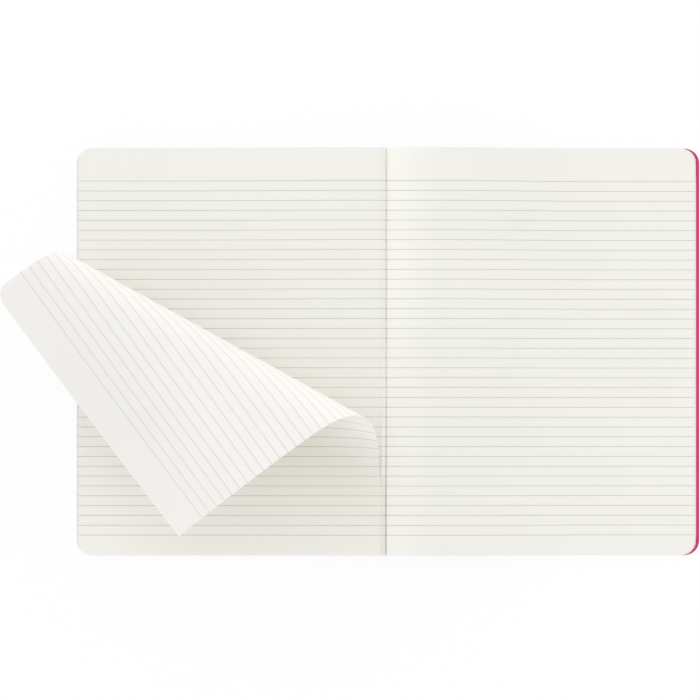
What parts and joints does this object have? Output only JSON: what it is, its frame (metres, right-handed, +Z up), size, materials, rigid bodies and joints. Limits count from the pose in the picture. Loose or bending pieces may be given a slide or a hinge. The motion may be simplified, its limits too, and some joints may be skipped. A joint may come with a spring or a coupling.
{
  "type": "open composition notebook",
  "caption": "Soft-cover sewn notebook lying open near its end, with ruled leaves and one perforated leaf torn part way and curled over.",
  "frame": {"origin": "on the sewn fold of the cover, halfway up the pages, in the plane that the open book lies on", "axes": "+X to the reader's right across the open book, +Y towards the head of the pages, +Z up"},
  "size_m": [0.4239, 0.249, 0.0647],
  "materials": {
    "cover_card": "matt pink card",
    "page_paper": "matt ivory paper, ruled in pale grey",
    "leaf_paper": "matt ivory paper, ruled in pale grey",
    "binding_thread": "waxed cotton thread"
  },
  "bodies": {
    "right_half": {"right_pages": "page_paper", "cover_spine": "cover_card", "spine_thread": "binding_thread"},
    "left_half": {"left_pages": "page_paper", "torn_leaf": "leaf_paper"},
    "front_cover": {"front_cover": "cover_card"},
    "back_cover": {"back_cover": "cover_card"}
  },
  "joints": [
    {"name": "close_book", "type": "hinge", "parent": "right_half", "child": "left_half", "pos_m": [0, 0, 0.00345], "axis": [0, 1, 0], "range_deg": [0, 180], "deforming": ["torn_leaf"]},
    {"name": "open_front_cover", "type": "hinge", "parent": "left_half", "child": "front_cover", "pos_m": [-0.005, 0, -0.00005], "axis": [0, -1, 0], "range_deg": [0, 180]},
    {"name": "open_back_cover", "type": "hinge", "parent": "right_half", "child": "back_cover", "pos_m": [0.005, 0, -0.00035], "axis": [0, 1, 0], "range_deg": [0, 180]}
  ]
}
